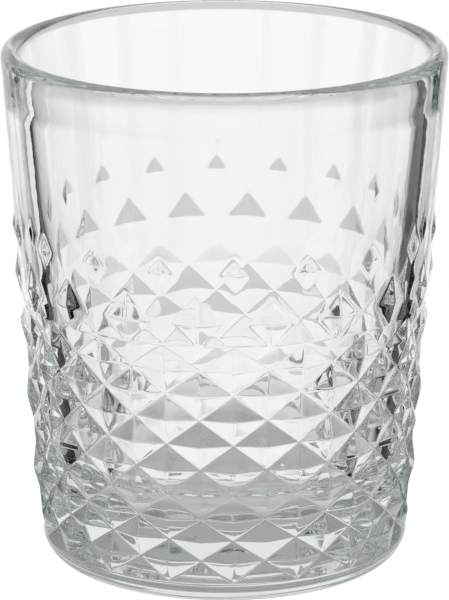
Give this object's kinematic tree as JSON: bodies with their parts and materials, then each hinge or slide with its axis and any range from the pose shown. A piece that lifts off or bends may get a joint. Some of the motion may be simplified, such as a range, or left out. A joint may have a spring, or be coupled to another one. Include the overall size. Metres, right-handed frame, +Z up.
{
  "type": "whiskey tumbler",
  "caption": "Tapered pressed-glass tumbler with a thick base, a plain rim band, raised studs and a lattice of small pyramids around its lower half.",
  "frame": {"origin": "centre of the plane that the tumbler rests on", "axes": "+Z up along the axis of the glass; a pyramid of the lattice's top row faces -Y"},
  "size_m": [0.086, 0.086, 0.102],
  "materials": {
    "clear_glass": "clear pressed soda-lime glass, fire-polished, faint green in the thick base"
  },
  "bodies": {
    "root": {"tumbler_glass": "clear_glass"}
  },
  "joints": []
}
